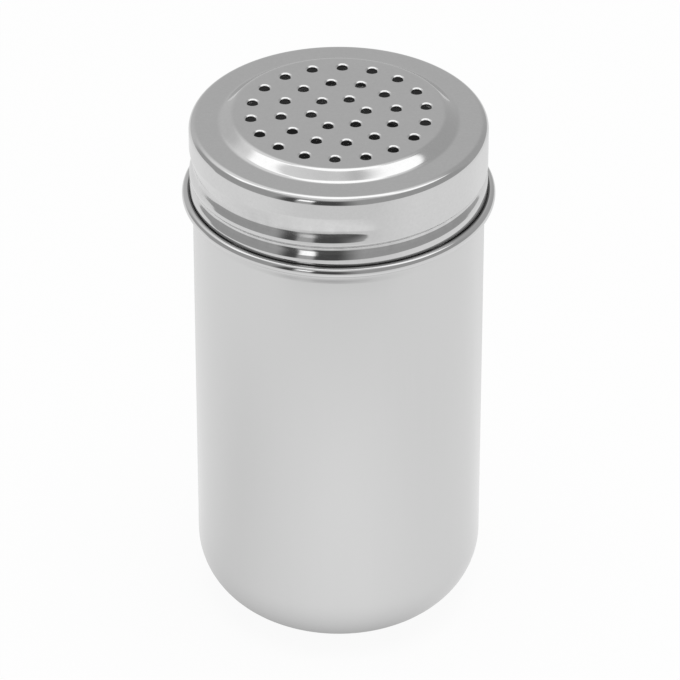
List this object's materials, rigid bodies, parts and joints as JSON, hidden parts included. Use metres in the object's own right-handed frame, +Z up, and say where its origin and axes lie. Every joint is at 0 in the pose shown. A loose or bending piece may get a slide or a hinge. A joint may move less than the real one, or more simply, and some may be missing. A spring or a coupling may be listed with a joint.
{
  "type": "restaurant spice shaker dispenser",
  "caption": "Stainless steel shaker cup with a curled rim, a threaded neck ring and a pierced screw lid with a raised disc, for sprinkling spices, salt or sugar.",
  "frame": {"origin": "middle of the flat base, on the surface that the shaker stands on", "axes": "+Z up the shaker's axis, from the base to the pierced lid; +X and +Y level, with the upper end of the lid's thread near -Y"},
  "size_m": [0.0708, 0.0708, 0.1291],
  "materials": {
    "satin_steel": "satin polished stainless steel sheet",
    "bright_steel": "bright rolled stainless steel sheet",
    "polished_steel": "mirror polished stainless steel sheet"
  },
  "bodies": {
    "shaker_body": {"body_shell": "satin_steel", "neck_ring": "bright_steel"},
    "lid": {"lid": "polished_steel"}
  },
  "joints": [
    {"name": "lid_lift", "type": "slide", "parent": "shaker_body", "child": "lid", "axis": [0, 0, 1], "range_m": [0, 0.06]}
  ]
}
